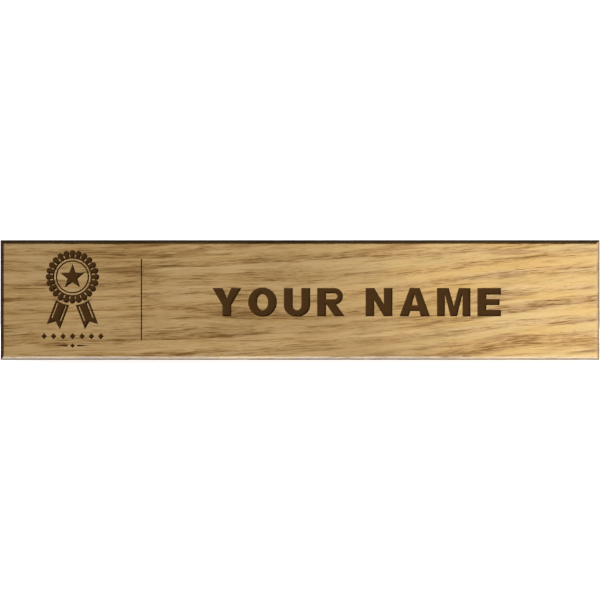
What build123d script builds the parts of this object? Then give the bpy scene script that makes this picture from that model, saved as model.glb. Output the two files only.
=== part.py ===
"""A solid oak name plaque: a bevelled board with an engraved, colour-filled award rosette, a divider
line and a placeholder name on the front, and two keyhole hangers and four bumpers on the back.

Frame, in millimetres: +X runs along the plaque to the reader's right, +Z is up, and the front faces -Y.
The origin is the middle of the underside of the plaque's whole box, bumpers included. Left and right
are the reader's, facing the front.
"""

import math
import os

from build123d import *

INCH = 25.4

# Board
LENGTH = 10 * INCH
HEIGHT = 2 * INCH
THICKNESS = 0.75 * INCH
FRONT_BEVEL = INCH / 16
BACK_BEVEL = 0.6

# Engraving: each motif is a flat-bottomed pocket with a thinner layer of dark fill on its floor.
POCKET_DEPTH = 0.8
FILL_THICKNESS = 0.35

# Lettering. Round letters pass the cap line and the base line by the overshoot.
CAP_HEIGHT = 12.0
STEM = 3.8
BAR = 2.8
OVERSHOOT = 0.2
LETTER_GAP = 2.9
WORD_GAP = 8.8
NAME_CENTRE = (24.0, -0.9)

# Divider between the rosette and the name
DIVIDER_CENTRE = (-67.1, 0.2)
DIVIDER_WIDTH = 0.5
DIVIDER_HEIGHT = 34.4

# Rosette
ROSETTE_CENTRE = (-96.3, 9.8)
PLEATS = 24
PLEAT_CIRCLE = 10.1
PLEAT_TIP_RADIUS = 1.25
RIM_INNER_RADIUS = 7.7
SLIT_CIRCLE = 8.95
SLIT_LENGTH = 1.3
SLIT_WIDTH = 0.42
RING_RADIUS = 7.05
RING_WIDTH = 0.6
STAR_POINTS = 5
STAR_RADIUS = 5.5
STAR_WAIST_RADIUS = 2.3
RIBBON_WIDTH = 6.0
RIBBON_LENGTH = 22.6
RIBBON_ANGLE = 21
RIBBON_NOTCH = 2.4
RIBBON_GAP = 0.65
PINSTRIPE_WIDTH = 0.45
PINSTRIPE_INSET = 1.1
PINSTRIPE_LENGTH = 6.6

# Ornament under the rosette
LOZENGES = 7
LOZENGE_PITCH = 4.0
LOZENGE_WIDTH = 2.4
LOZENGE_HEIGHT = 2.7
LOZENGE_ROW_CENTRE = (ROSETTE_CENTRE[0], -15.3)
FLOURISH_CENTRE = (ROSETTE_CENTRE[0], -19.3)
FLOURISH_BAR_LENGTH = 5.0
FLOURISH_BAR_WIDTH = 0.8
FLOURISH_GAP = 0.9

# Keyhole hangers
HANGER_SPACING = 6 * INCH
PLATE_LENGTH = 1.5 * INCH
PLATE_WIDTH = 0.625 * INCH
PLATE_THICKNESS = 2.0
PLATE_CLEARANCE = 0.15
ENTRY_RADIUS = 4.5
ENTRY_Z = -3.5
SLOT_RADIUS = 2.5
SLOT_TRAVEL = 10.0
CAVITY_RADIUS = 6.0
CAVITY_DEPTH = 6.5

# Countersunk wood screws that hold the hangers
SCREW_SPACING = 1.125 * INCH
SCREW_LENGTH = 0.5 * INCH
HEAD_RADIUS = 2.85
HEAD_ANGLE = 82
CREST_RADIUS = 1.42
ROOT_RADIUS = 1.0
THREAD_PITCH = 1.15
THREAD_TURNS = 7
TIP_LENGTH = 2.2
DRIVE_SPAN = 3.0
DRIVE_WIDTH = 0.8
DRIVE_DEPTH = 1.1
DRIVE_TAPER = 14
PLATE_HOLE_RADIUS = 1.65
RUNNING_CLEARANCE = 0.05
PILOT_SPARE_DEPTH = 0.6

# Bumpers
BUMPER_RADIUS = 4.75
BUMPER_HEIGHT = 1.9
BUMPER_TAPER = 14
BUMPER_EDGE_RADIUS = 0.4
BUMPER_INSET_X = 0.5 * INCH
BUMPER_INSET_Z = 0.4 * INCH

# Shared places. The planes look along -Y, so a positive offset is nearer the front.
DEPTH = THICKNESS + BUMPER_HEIGHT
MIDDLE_Z = HEIGHT / 2
FRONT_OFFSET = DEPTH / 2
BACK_OFFSET = FRONT_OFFSET - THICKNESS
BACK_Y = -BACK_OFFSET
HANGERS = {"left": -HANGER_SPACING / 2, "right": HANGER_SPACING / 2}
LEVELS = {"lower": -SCREW_SPACING / 2, "upper": SCREW_SPACING / 2}

front_plane = Plane.XZ.offset(FRONT_OFFSET).shift_origin((0, -FRONT_OFFSET, MIDDLE_Z))
pocket_floor_plane = front_plane.offset(-POCKET_DEPTH)
back_plane = front_plane.offset(-THICKNESS)
plate_seat_plane = back_plane.offset(PLATE_THICKNESS)


def outline(*points):
    """A face bounded by straight lines through the points."""
    with BuildSketch() as shape:
        with BuildLine():
            Polyline(*points, close=True)
        make_face()
    return shape.sketch


# Letters. Each stands on the sketch's origin by its lower left corner, and comes with its width.


def letter_y():
    width, arm, fork, crotch = 12.2, 4.3, 4.7, 7.9
    left, right = (width - STEM) / 2, (width + STEM) / 2
    shape = outline(
        (left, 0),
        (right, 0),
        (right, fork),
        (width, CAP_HEIGHT),
        (width - arm, CAP_HEIGHT),
        (width / 2, crotch),
        (arm, CAP_HEIGHT),
        (0, CAP_HEIGHT),
        (left, fork),
    )
    return shape, width


def letter_o():
    width = 12.2
    half_height = CAP_HEIGHT / 2 + OVERSHOOT
    with BuildSketch() as glyph:
        with Locations((width / 2, CAP_HEIGHT / 2)):
            Ellipse(width / 2, half_height)
            Ellipse(width / 2 - STEM, half_height - BAR, mode=Mode.SUBTRACT)
    return glyph.sketch, width


def letter_u():
    width, bowl = 11.2, 4.6
    stem_align = (Align.CENTER, Align.MIN)
    counter = width / 2 - STEM
    with BuildSketch() as glyph:
        with Locations((width / 2, bowl)):
            Rectangle(width, CAP_HEIGHT - bowl, align=stem_align)
            Ellipse(width / 2, bowl + OVERSHOOT)
            Rectangle(2 * counter, CAP_HEIGHT, align=stem_align, mode=Mode.SUBTRACT)
            Ellipse(counter, bowl + OVERSHOOT - BAR, mode=Mode.SUBTRACT)
    return glyph.sketch, width


def letter_r():
    width, bowl_width, waist, bowl_bar = 11.7, 10.9, 4.9, 2.35
    radius = (CAP_HEIGHT - waist) / 2
    bowl_x, bowl_z = bowl_width - radius, (CAP_HEIGHT + waist) / 2
    counter_align = (Align.MIN, Align.CENTER)
    with BuildSketch() as glyph:
        Rectangle(STEM, CAP_HEIGHT, align=(Align.MIN, Align.MIN))
        with Locations((0, bowl_z)):
            Rectangle(bowl_x, 2 * radius, align=counter_align)
        add(outline((3.9, waist + 0.1), (7.5, waist + 0.9), (width, 0), (7.4, 0)))
        with Locations((bowl_x, bowl_z)):
            Circle(radius)
            Circle(radius - bowl_bar, mode=Mode.SUBTRACT)
        with Locations((STEM, bowl_z)):
            Rectangle(bowl_x - STEM, 2 * (radius - bowl_bar), align=counter_align, mode=Mode.SUBTRACT)
    return glyph.sketch, width


def letter_n():
    width, leg, joint = 11.4, 3.7, 5.3
    shape = outline(
        (0, 0),
        (0, CAP_HEIGHT),
        (leg, CAP_HEIGHT),
        (width - leg, joint),
        (width - leg, CAP_HEIGHT),
        (width, CAP_HEIGHT),
        (width, 0),
        (width - leg, 0),
        (leg, CAP_HEIGHT - joint),
        (leg, 0),
    )
    return shape, width


def letter_a():
    width, top, foot, bar_low, bar_high, peak = 13.0, 4.2, 4.0, 2.2, 4.7, 9.0
    centre = width / 2
    lean = (centre - foot) / (peak + 0.4)
    low, high = foot + lean * bar_low, foot + lean * bar_high
    with BuildSketch() as glyph:
        add(
            outline(
                (0, 0),
                (centre - top / 2, CAP_HEIGHT),
                (centre + top / 2, CAP_HEIGHT),
                (width, 0),
                (width - foot, 0),
                (width - low, bar_low),
                (low, bar_low),
                (foot, 0),
            )
        )
        add(outline((high, bar_high), (width - high, bar_high), (centre, peak)), mode=Mode.SUBTRACT)
    return glyph.sketch, width


def letter_m():
    width, leg, shoulder, valley, tip, armpit = 14.2, 3.4, 5.0, 4.5, 2.8, 9.1
    centre = width / 2
    shape = outline(
        (0, 0),
        (0, CAP_HEIGHT),
        (shoulder, CAP_HEIGHT),
        (centre, valley),
        (width - shoulder, CAP_HEIGHT),
        (width, CAP_HEIGHT),
        (width, 0),
        (width - leg, 0),
        (width - leg, armpit),
        (centre + tip / 2, 0),
        (centre - tip / 2, 0),
        (leg, armpit),
        (leg, 0),
    )
    return shape, width


def letter_e():
    width, tongue, tongue_bar = 10.0, 9.4, 2.6
    low, high = (CAP_HEIGHT - tongue_bar) / 2, (CAP_HEIGHT + tongue_bar) / 2
    shape = outline(
        (0, 0),
        (0, CAP_HEIGHT),
        (width, CAP_HEIGHT),
        (width, CAP_HEIGHT - BAR),
        (STEM, CAP_HEIGHT - BAR),
        (STEM, high),
        (tongue, high),
        (tongue, low),
        (STEM, low),
        (STEM, BAR),
        (width, BAR),
        (width, 0),
    )
    return shape, width


def name_motifs():
    """The placeholder name as (node name, sketch, place), one entry for each letter, centred as a line."""
    words = [
        [("y", letter_y()), ("o", letter_o()), ("u", letter_u()), ("r", letter_r())],
        [("n", letter_n()), ("a", letter_a()), ("m", letter_m()), ("e", letter_e())],
    ]
    placed, x = [], 0
    for word in words:
        for letter, (glyph, width) in word:
            placed.append((f"letter_{len(placed) + 1}_{letter}_fill", glyph, x))
            x += width + LETTER_GAP
        x += WORD_GAP - LETTER_GAP
    line_width = x - WORD_GAP
    left, base = NAME_CENTRE[0] - line_width / 2, NAME_CENTRE[1] - CAP_HEIGHT / 2
    return [(node, glyph, (left + x, base)) for node, glyph, x in placed]


# Rosette and ornament, each centred on the sketch's origin


def rosette_rim():
    """A pleated band: a ring with a round tip and a short slit for each fold."""
    with BuildSketch() as motif:
        Circle(PLEAT_CIRCLE)
        with PolarLocations(PLEAT_CIRCLE, PLEATS):
            Circle(PLEAT_TIP_RADIUS)
        Circle(RIM_INNER_RADIUS, mode=Mode.SUBTRACT)
        with PolarLocations(SLIT_CIRCLE, PLEATS, start_angle=180 / PLEATS):
            SlotOverall(SLIT_LENGTH, SLIT_WIDTH, mode=Mode.SUBTRACT)
    return motif.sketch


def rosette_ring():
    with BuildSketch() as motif:
        Circle(RING_RADIUS)
        Circle(RING_RADIUS - RING_WIDTH, mode=Mode.SUBTRACT)
    return motif.sketch


def rosette_star():
    points = []
    for i in range(2 * STAR_POINTS):
        radius = STAR_WAIST_RADIUS if i % 2 else STAR_RADIUS
        angle = math.pi / 2 + math.pi * i / STAR_POINTS
        points.append((radius * math.cos(angle), radius * math.sin(angle)))
    return outline(*points)


def ribbon_tail(side):
    """A swallow-tailed ribbon that hangs from under the rim, with a pinstripe near each edge.

    side is -1 for the left tail and 1 for the right one.
    """
    half = RIBBON_WIDTH / 2
    clear_radius = PLEAT_CIRCLE + PLEAT_TIP_RADIUS + RIBBON_GAP
    stripe_x = half - PINSTRIPE_INSET
    stripe_y = -clear_radius - PINSTRIPE_LENGTH / 2 - RIBBON_GAP
    with BuildSketch() as band:
        add(
            outline(
                (-half, 0),
                (half, 0),
                (half, -RIBBON_LENGTH),
                (0, RIBBON_NOTCH - RIBBON_LENGTH),
                (-half, -RIBBON_LENGTH),
            )
        )
        with Locations((-stripe_x, stripe_y), (stripe_x, stripe_y)):
            SlotOverall(PINSTRIPE_LENGTH, PINSTRIPE_WIDTH, rotation=90, mode=Mode.SUBTRACT)
    with BuildSketch() as motif:
        add(band.sketch, rotation=side * RIBBON_ANGLE)
        Circle(clear_radius, mode=Mode.SUBTRACT)
    return motif.sketch


def lozenge(width, height):
    return outline((-width / 2, 0), (0, -height / 2), (width / 2, 0), (0, height / 2))


def lozenge_row():
    with BuildSketch() as motif:
        with GridLocations(LOZENGE_PITCH, 0, LOZENGES, 1):
            add(lozenge(LOZENGE_WIDTH, LOZENGE_HEIGHT))
    return motif.sketch


def flourish():
    """A small lozenge between two bars that taper to points."""
    inner = LOZENGE_WIDTH / 2 + FLOURISH_GAP
    outer = inner + FLOURISH_BAR_LENGTH
    half = FLOURISH_BAR_WIDTH / 2
    with BuildSketch() as motif:
        add(lozenge(LOZENGE_WIDTH * 0.8, LOZENGE_HEIGHT * 0.7))
        for side in (-1, 1):
            add(outline((side * inner, -half), (side * inner, half), (side * outer, 0)))
    return motif.sketch


def divider():
    with BuildSketch() as motif:
        Rectangle(DIVIDER_WIDTH, DIVIDER_HEIGHT)
    return motif.sketch


motifs = [
    ("rosette_rim_fill", rosette_rim(), ROSETTE_CENTRE),
    ("rosette_ring_fill", rosette_ring(), ROSETTE_CENTRE),
    ("rosette_star_fill", rosette_star(), ROSETTE_CENTRE),
    ("ribbon_left_fill", ribbon_tail(-1), ROSETTE_CENTRE),
    ("ribbon_right_fill", ribbon_tail(1), ROSETTE_CENTRE),
    ("lozenge_row_fill", lozenge_row(), LOZENGE_ROW_CENTRE),
    ("flourish_fill", flourish(), FLOURISH_CENTRE),
    ("divider_fill", divider(), DIVIDER_CENTRE),
    *name_motifs(),
]

os.makedirs("parts", exist_ok=True)


def save(piece, name):
    piece.part.label = name
    export_step(piece.part, f"parts/{name}.step")


# Board

with BuildPart() as board:
    with BuildSketch(back_plane):
        Rectangle(LENGTH, HEIGHT)
    extrude(amount=THICKNESS)
    chamfer(board.faces().sort_by(Axis.Y)[0].edges(), FRONT_BEVEL)
    chamfer(board.faces().sort_by(Axis.Y)[-1].edges(), BACK_BEVEL)
    with BuildSketch(front_plane):
        for _, motif_sketch, place in motifs:
            with Locations(place):
                add(motif_sketch)
    extrude(amount=-POCKET_DEPTH, mode=Mode.SUBTRACT)
    for hanger_x in HANGERS.values():
        with BuildSketch(back_plane):
            with Locations((hanger_x, 0)):
                seat_length = PLATE_LENGTH + 2 * PLATE_CLEARANCE
                SlotOverall(seat_length, PLATE_WIDTH + 2 * PLATE_CLEARANCE, rotation=90)
        extrude(amount=PLATE_THICKNESS, mode=Mode.SUBTRACT)
        with BuildSketch(plate_seat_plane):
            with Locations((hanger_x, ENTRY_Z + SLOT_TRAVEL / 2)):
                SlotCenterToCenter(SLOT_TRAVEL, 2 * CAVITY_RADIUS, rotation=90)
        extrude(amount=CAVITY_DEPTH, mode=Mode.SUBTRACT)
        with BuildSketch(plate_seat_plane):
            with Locations(*[(hanger_x, level) for level in LEVELS.values()]):
                Circle(CREST_RADIUS + RUNNING_CLEARANCE)
        extrude(amount=SCREW_LENGTH - PLATE_THICKNESS + PILOT_SPARE_DEPTH, mode=Mode.SUBTRACT)

save(board, "board")

# Colour fill, one layer in the bottom of each engraved pocket

for node, motif_sketch, place in motifs:
    with BuildPart() as fill:
        with BuildSketch(pocket_floor_plane):
            with Locations(place):
                add(motif_sketch)
        extrude(amount=FILL_THICKNESS)
    save(fill, node)

# Keyhole hanger plates, flush with the back

for side, hanger_x in HANGERS.items():
    with BuildPart() as hanger_plate:
        with BuildSketch(back_plane):
            with Locations((hanger_x, 0)):
                SlotOverall(PLATE_LENGTH, PLATE_WIDTH, rotation=90)
            with Locations((hanger_x, ENTRY_Z)):
                Circle(ENTRY_RADIUS, mode=Mode.SUBTRACT)
            with Locations((hanger_x, ENTRY_Z + SLOT_TRAVEL / 2)):
                SlotCenterToCenter(SLOT_TRAVEL, 2 * SLOT_RADIUS, rotation=90, mode=Mode.SUBTRACT)
        extrude(amount=PLATE_THICKNESS)
        screw_tops = [(hanger_x, BACK_Y, MIDDLE_Z + level) for level in LEVELS.values()]
        with Locations(*[Plane(origin=top, z_dir=(0, 1, 0)) for top in screw_tops]):
            CounterSinkHole(
                PLATE_HOLE_RADIUS,
                HEAD_RADIUS + RUNNING_CLEARANCE,
                depth=PLATE_THICKNESS,
                counter_sink_angle=HEAD_ANGLE,
            )
    save(hanger_plate, f"hanger_plate_{side}")

# Hanger screws: a countersunk head, a plain neck, a thread and a point


def screw_profile():
    """Half of the screw's section as (radius, depth below the head's face)."""
    head_height = (HEAD_RADIUS - CREST_RADIUS) / math.tan(math.radians(HEAD_ANGLE / 2))
    thread_start = SCREW_LENGTH - TIP_LENGTH - THREAD_TURNS * THREAD_PITCH
    points = [(0, 0), (HEAD_RADIUS, 0), (CREST_RADIUS, head_height), (CREST_RADIUS, thread_start)]
    for turn in range(THREAD_TURNS):
        top = thread_start + turn * THREAD_PITCH
        points += [(ROOT_RADIUS, top + 0.25 * THREAD_PITCH), (ROOT_RADIUS, top + 0.7 * THREAD_PITCH)]
        points += [(CREST_RADIUS, top + THREAD_PITCH)]
    return [*points, (0, SCREW_LENGTH)]


for side, hanger_x in HANGERS.items():
    for level_name, level in LEVELS.items():
        screw_axis = Axis((hanger_x, 0, MIDDLE_Z + level), (0, 1, 0))
        with BuildPart() as screw:
            with BuildSketch(Plane.XY.offset(MIDDLE_Z + level)):
                with BuildLine():
                    section = [(hanger_x + radius, BACK_Y - depth) for radius, depth in screw_profile()]
                    Polyline(*section, close=True)
                make_face()
            revolve(axis=screw_axis)
            with BuildSketch(back_plane):
                with Locations((hanger_x, level)):
                    Rectangle(DRIVE_SPAN, DRIVE_WIDTH)
                    Rectangle(DRIVE_WIDTH, DRIVE_SPAN)
            extrude(amount=DRIVE_DEPTH, taper=DRIVE_TAPER, mode=Mode.SUBTRACT)
        save(screw, f"hanger_screw_{side}_{level_name}")

# Bumpers near the back's corners, which keep the plaque parallel to the wall

for side, sign_x in (("left", -1), ("right", 1)):
    for level_name, sign_z in (("lower", -1), ("upper", 1)):
        bumper_x = sign_x * (LENGTH / 2 - BUMPER_INSET_X)
        bumper_z = sign_z * (HEIGHT / 2 - BUMPER_INSET_Z)
        with BuildPart() as bumper:
            with BuildSketch(back_plane):
                with Locations((bumper_x, bumper_z)):
                    Circle(BUMPER_RADIUS)
            extrude(amount=-BUMPER_HEIGHT, taper=BUMPER_TAPER)
            fillet(bumper.faces().sort_by(Axis.Y)[-1].edges(), BUMPER_EDGE_RADIUS)
        save(bumper, f"bumper_{side}_{level_name}")
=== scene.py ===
"""Looks for the oak name plaque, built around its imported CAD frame.

The board is a fine mesh with real grain relief and eased edges, cut to the CAD board's pockets and
recesses. The paint in each pocket has a meniscus, the screws have a real helical thread, and the
hangers and bumpers have rounded edges; each of them stands for its own CAD node.

Lengths are in metres, except where a name ends in _MM or a comment says mm: the grain is worked out
in millimetres inside the trunk that the board was sawn from, whose axis runs along X.
"""

import functools
import math

import bmesh
import bpy
import numpy as np
from mathutils import Matrix, Vector, noise
from mathutils.bvhtree import BVHTree


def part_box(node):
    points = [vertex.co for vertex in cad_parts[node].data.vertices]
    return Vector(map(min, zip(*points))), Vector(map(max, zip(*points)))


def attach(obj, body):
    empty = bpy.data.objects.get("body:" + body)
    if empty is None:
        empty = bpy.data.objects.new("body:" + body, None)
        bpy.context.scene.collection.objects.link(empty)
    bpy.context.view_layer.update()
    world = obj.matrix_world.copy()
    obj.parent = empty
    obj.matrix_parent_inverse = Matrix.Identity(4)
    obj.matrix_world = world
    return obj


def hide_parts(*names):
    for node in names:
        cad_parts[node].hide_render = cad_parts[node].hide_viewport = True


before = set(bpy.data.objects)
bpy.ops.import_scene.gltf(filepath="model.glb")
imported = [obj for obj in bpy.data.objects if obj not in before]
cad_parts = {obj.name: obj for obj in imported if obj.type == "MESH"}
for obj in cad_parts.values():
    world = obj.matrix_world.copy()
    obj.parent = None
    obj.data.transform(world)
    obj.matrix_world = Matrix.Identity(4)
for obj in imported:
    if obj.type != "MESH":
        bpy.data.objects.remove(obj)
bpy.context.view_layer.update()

MM = 0.001
BOARD_LOW, BOARD_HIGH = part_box("board")
CENTRE = (BOARD_LOW + BOARD_HIGH) / 2
HALF = (BOARD_HIGH - BOARD_LOW) / 2
POCKET_FLOOR_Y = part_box("divider_fill")[1].y
PAINT_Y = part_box("divider_fill")[0].y

# Slack: for points that are the same, for points on the same plane, and for cutters that reach past
# what they cut
SAME_POINT = 0.001 * MM
SAME_PLANE = 0.01 * MM
OVERRUN = 1 * MM

# Board edges, as in the CAD board. Sanding has eased the corners, most of all the front's outline.
FRONT_BEVEL = 1.5875 * MM
BACK_BEVEL = 0.6 * MM
EASING = 0.22 * MM
OUTLINE_EASING = 0.55 * MM

# The board's mesh: its cells are long along the grain and narrow across it. The skin lies a little
# inside the CAD board, and the early wood and the pores lie deeper.
CELLS_X = 212
CELLS_Z = 132
SIDE_STEP = 0.8 * MM
EASING_STEPS = 4
SKIN_GAP_MM = 0.006
BAND_RELIEF_MM = 0.022
PORE_RELIEF_MM = 0.075
SHARP_ANGLE = math.radians(34)

# Growth rings: their centre lies below and behind the board. RAY_RADIUS_MM turns angles round it
# into lengths. A ring's early wood begins and ends over these parts of the ring's width, and is
# stronger in some years than in others, which YEAR_STEP keeps apart in the noise.
PITH_DEPTH_MM = 46.0
PITH_ACROSS_MM = -37.0
RING_WIDTH_MM = 5.4
RAY_RADIUS_MM = 70.0
RING_START = (0.0, 0.14)
RING_END = (0.3, 0.75)
RING_STRENGTH = 0.55
WEAKEST_RING = 0.12
YEAR_STEP = 9.1

# The grain climbs to the right: by SLOPE_LEFT of the length, and SLOPE_GAIN more past SLOPE_TURN
SLOPE_LEFT = 0.018
SLOPE_GAIN = 0.085
SLOPE_TURN = 0.56
SLOPE_BLEND = 0.1

# Smooth noise that shapes the grain: how far it sways, its cells' length and width in mm, and a seed.
# The waves bend the grain up and down, and the lean bends it in and out.
LONG_WAVE_MM = (1.5, 62, 26, 3.7)
SHORT_WAVE_MM = (0.4, 21, 9, 11.2)
LEAN_MM = (1.2, 80, 30, 23.1)
RING_WANDER = (0.55, 70, 7, 5.5)
RING_CHANGE = (0.6, 90, 1, 0.37)
PORE_STREAKS = (1.0, 8, 0.62, 41.3)
PORE_GROUPS = (0.25, 17, 2.4, 57.9)
PORE_EDGE = (0.12, 0.42)
LATE_WOOD_PORES = 0.25

# Oak colours. OAK_STOPS are red's gains along the tone from 0, the darkest early wood, to 1.
OAK_MEAN = (0.376, 0.237, 0.103)
OAK_STOPS = [(0.0, 0.43), (0.5, 1.0), (0.72, 1.21), (1.0, 1.34)]
GREEN_POWER = 1.32
BLUE_POWER = 2.1

# Tone of the wood, and how much darker each thing makes it. RAY_SHADES are added: on the face, then
# on the ends.
FACE_TONE = 0.72
END_TONE = 0.62
CLUSTER_SHADE = 0.30
DASH_SHADE = 0.50
END_RING_SHADE = 0.42
PORE_SHADE = 0.34
RAY_SHADES = (-0.16, 0.3)

# Noise that sways the tone: the cell's length and width in mm, how far it sways, detail, roughness
LONG_STREAKS = ((30, 1.3), 0.7, 3, 0.6)
SHORT_STREAKS = ((10, 0.4), 0.45, 2, 0.6)
FACE_CLOUDS = ((70, 10), 0.75)
END_CLOUDS = ((70, 12), 0.5)
END_SPECKLE = ((7, 0.25), 0.35, 2, 0.6)
FIBRE = ((4, 0.2), 0.38, 2, 0.6)

# Noise that makes patches: the cell, the noise where a patch begins and is full, detail, roughness
RAYS = ((6.0, 0.32, 9.0), (0.62, 0.72), 1.0)
CLUSTERS = ((38, 3.0), (0.48, 0.66))
DASHES = ((16, 0.42), (0.52, 0.66), 2, 0.6)
LIVELY_PATCHES = ((45, 7), (0.38, 0.62), 1)
TINT_PATCHES = ((40, 8), (0.36, 0.64))

# The face's liveliness. Dashes are fainter outside the clusters, and early wood counts as a cluster.
# Streaks are livelier in some patches. All of it is calmest within the shorter CALM_REACH_MM of
# CALM_PLACE_MM along the board, and as lively as elsewhere past the longer one.
LONE_DASHES = 0.25
RING_CLUSTERS = 0.95
LIVELINESS = (0.6, 1.3)
CALM_PLACE_MM = 158.0
CALM_REACH_MM = (5, 60)
CALMEST = 0.55

# Open vessels, fine and coarse: the cell's length and width in mm, and the distances, in cells, where
# a vessel's dark middle ends and where its rim does. VESSEL_CROWDING widens them in early wood.
VESSELS = [((5.0, 0.42), (0.06, 0.2)), ((15.0, 1.05), (0.04, 0.16))]
VESSEL_CROWDING = 0.2

# Tints from end to end. The left's gives way to the right's over GOLDEN_RANGE_MM, along a slanting and
# ragged border, and on the bevels only in part, as painted shade that keeps them darker. The right's
# dark clusters are rosier. Faint dull and warm patches lie over it all, weaker on the left.
TINT_LEFT = (0.92, 0.89, 0.75)
TINT_RIGHT = (1.41, 1.40, 1.09)
GOLDEN_RANGE_MM = (115.0, 225.0)
BORDER_SLANT = 0.7
BORDER_SWAY = ((50, 9), 50.0)
SHADED_BEVEL_GOLD = 0.5
ROSY_TINT = (1.0, 1.0, 1.3)
DULL_TINT = (0.97, 1.0, 1.07)
WARM_TINT = (1.03, 1.0, 0.93)
PATCHES_LEFT = 0.5

# Tints of the ends, of the front's bevels and of the dark line round the front's outline. The bevels'
# tint is painted shade: it darkens all four of the front's bevels, so that the top and left ones look
# shaded. FACING is how squarely a surface faces along the board, for the ends, or to the front, where
# its tint begins and is full. A bevel faces half way to the front.
END_TINT = (0.72, 0.66, 0.56)
END_FACING = (0.8, 0.95)
BEVEL_PAINTED_SHADE = (0.57, 0.51, 0.36)
BEVEL_FACING = math.sqrt(0.5)
BEVEL_TOLERANCE = 0.18
OUTLINE_TINT = (0.11, 0.10, 0.09)
OUTLINE_FACING = (0.08, 0.3)
OUTLINE_REACH_MM = 1.0

# Finish of the oak: satin first, then as polished as the front's bevels are
OAK_SPECULAR = 0.2
LACQUER_ROUGHNESS = (0.58, 0.4)
BARE_ROUGHNESS = 0.75
PORE_ROUGHNESS = 0.8
COAT = (0.12, 0.9)
COAT_ROUGHNESS = 0.24

# Paint
PAINT_CELL = 0.25 * MM
PAINT_MARGIN = 0.3 * MM
MENISCUS_RISE = 0.09 * MM
MENISCUS_REACH = 0.22 * MM
PAINT_WAVE = 0.012 * MM
PAINT_WAVE_CELL = 1.3 * MM

# Hanger plates and screws. PLATE_EDGE is the most by which a plate's edges are eased: the bevel stays
# smaller where the mesh's edges are short. A screw's thread starts below its neck and tapers away to
# its tip. The flank, which is half the ridge's width, and the run-in are in pitches. SCREW_TURNS are
# the angles in radians that the screws were driven to.
PLATE_EDGE = 0.25 * MM
SCREW_HEAD_RADIUS = 2.85 * MM
SCREW_HEAD_HEIGHT = 1.645 * MM
SCREW_NECK_END = 2.3 * MM
SCREW_EDGE = 0.12 * MM
SCREW_TIP_LENGTH = 2.6 * MM
SCREW_TIP_RADIUS = 0.02 * MM
SCREW_SEGMENTS = 40
SCREW_SHARP_ANGLE = math.radians(30)
THREAD_ROOT = 1.0 * MM
THREAD_CREST = 1.42 * MM
THREAD_PITCH = 1.15 * MM
THREAD_FLANK = 0.28
THREAD_RUN_IN = 0.8
TIP_POWER = 0.75
STEPS_PER_PITCH = 10
RECESS_SPAN = 3.0 * MM
RECESS_WIDTH = 0.75 * MM
RECESS_FLOOR_SPAN = 0.9 * MM
RECESS_FLOOR_WIDTH = 0.45 * MM
RECESS_DEPTH = 1.25 * MM
RECESS_MARGIN = 0.4 * MM
SCREW_TURNS = {
    ("left", "lower"): 0.35,
    ("left", "upper"): 1.1,
    ("right", "lower"): -0.25,
    ("right", "upper"): 0.75,
}

# Bumpers. The foot's corner is cut off by BUMPER_FOOT, inwards and upwards. The gate mark is the
# shallow dimple that moulding leaves in the middle: its radius at the rim and at its floor, and its
# depth at the floor's edge and at its middle.
BUMPER_SEGMENTS = 72
BUMPER_TAPER = math.radians(14)
BUMPER_EDGE = 0.55 * MM
BUMPER_EDGE_STEPS = 6
BUMPER_FOOT = (0.08 * MM, 0.06 * MM)
GATE_RADIUS = (1.0 * MM, 0.85 * MM)
GATE_DEPTH = (0.1 * MM, 0.12 * MM)

# Studio. PLAQUE_SHARE is how much of the picture's width the plaque fills.
LENS = 135.0
SENSOR = 36.0
PLAQUE_SHARE = 0.9987
FLOOR_REACH = 4.0
FLOOR_GLOW = 0.88
AMBIENT = 0.035
BACK_GLOW = 1.3
WHITE_GLOW = 1.05
WHITE = (1, 1, 1)
COOL_WHITE = (0.95, 1.05, 1.10)

# Soft panels: name, direction from the plaque, distance, width and height, radiance and colour
PANELS = [
    ("key", (0.58, -0.62, -0.61), 1.2, (1.1, 1.1), 8.8, WHITE),
    ("under_strip", (0, 0.02, -0.5), 0.5, (0.9, 0.12), 8.4, COOL_WHITE),
    ("right_panel", (1, 0, 0), 0.6, (0.35, 0.35), 2.6, WHITE),
    ("upper_back", (0, 0.74, 0.67), 1.1, (1.6, 0.42), 4.5, WHITE),
    ("left_back", (-0.66, 0.74, 0.12), 1.1, (0.42, 1.0), 4.5, WHITE),
]


# ---------------------------------------------------------------- mesh helpers


def link_object(name, data):
    made = bpy.data.objects.new(name, data)
    bpy.context.scene.collection.objects.link(made)
    return made


def mesh_from(name, points, faces, materials=()):
    mesh = bpy.data.meshes.new(name)
    mesh.from_pydata([tuple(p) for p in points], [], [tuple(f) for f in faces])
    for material in materials:
        mesh.materials.append(material)
    return link_object(name, mesh)


def solid_from(name, points, faces, materials=()):
    """As mesh_from, for a closed solid: its faces are turned to look outwards."""
    solid = mesh_from(name, points, faces, materials)
    shape = bmesh.new()
    shape.from_mesh(solid.data)
    bmesh.ops.recalc_face_normals(shape, faces=shape.faces)
    shape.to_mesh(solid.data)
    shape.free()
    return solid


def object_from_bmesh(name, shape, materials=()):
    """An object with the bmesh's shape, and without the normals that a CAD mesh brings along."""
    mesh = bpy.data.meshes.new(name)
    shape.to_mesh(mesh)
    shape.free()
    if "custom_normal" in mesh.attributes:
        mesh.attributes.remove(mesh.attributes["custom_normal"])
    for material in materials:
        mesh.materials.append(material)
    return link_object(name, mesh)


def cad_copy(node):
    """A copy of a CAD node's mesh with its split vertices joined, as a bmesh."""
    shape = bmesh.new()
    shape.from_mesh(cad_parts[node].data)
    bmesh.ops.remove_doubles(shape, verts=shape.verts, dist=SAME_POINT)
    return shape


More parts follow.
